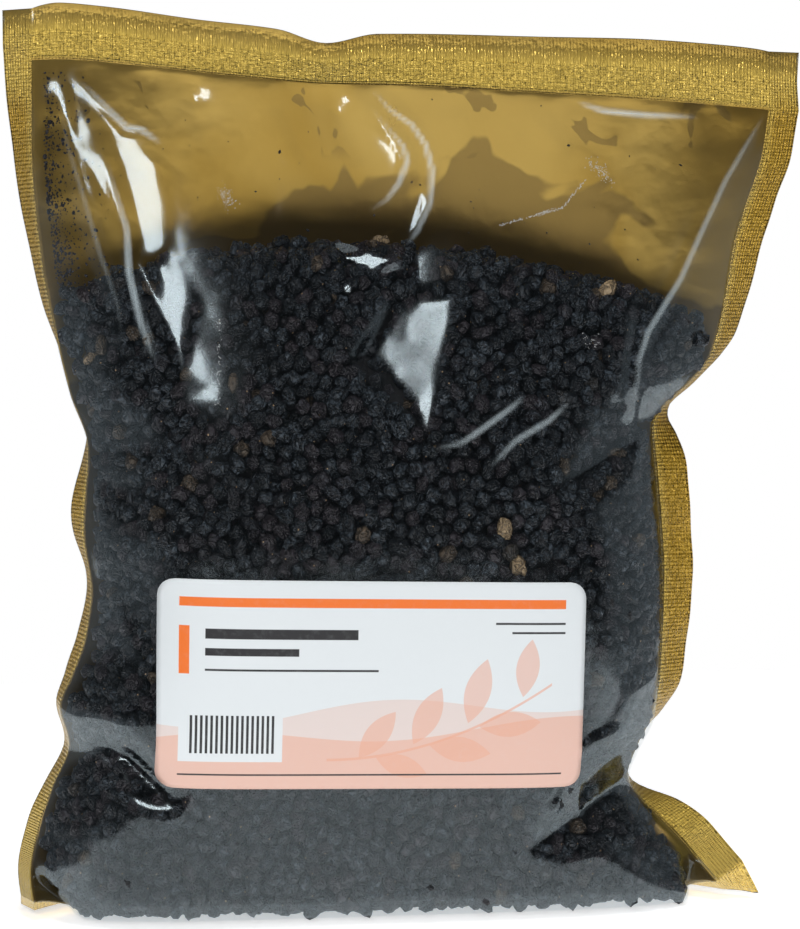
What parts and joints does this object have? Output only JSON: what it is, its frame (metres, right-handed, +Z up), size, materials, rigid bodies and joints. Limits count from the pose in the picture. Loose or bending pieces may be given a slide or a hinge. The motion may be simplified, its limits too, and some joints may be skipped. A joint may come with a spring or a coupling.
{
  "type": "filled pouch of dried elderberries",
  "caption": "Heat-sealed pillow pouch of dried elderberries, standing on its filled base, with a clear front film, a gold back film and a stuck-on label.",
  "frame": {"origin": "on the surface the pouch stands on, below the middle of its bounding box", "axes": "+Z up, -Y out of the clear labelled front, +X to the right as the pouch is seen from its front"},
  "size_m": [0.2011, 0.061, 0.2218],
  "materials": {
    "gold_film": "gold metallised film, glossy, with embossed seals",
    "clear_film": "clear and glossy, lightly creased",
    "dried_berries": "matte, wrinkled, near-black dried berries",
    "label_paper": "smooth coated paper, printed"
  },
  "bodies": {
    "root": {"back_film": "gold_film", "front_film": "clear_film", "berry_fill": "dried_berries", "label": "label_paper"}
  },
  "joints": []
}
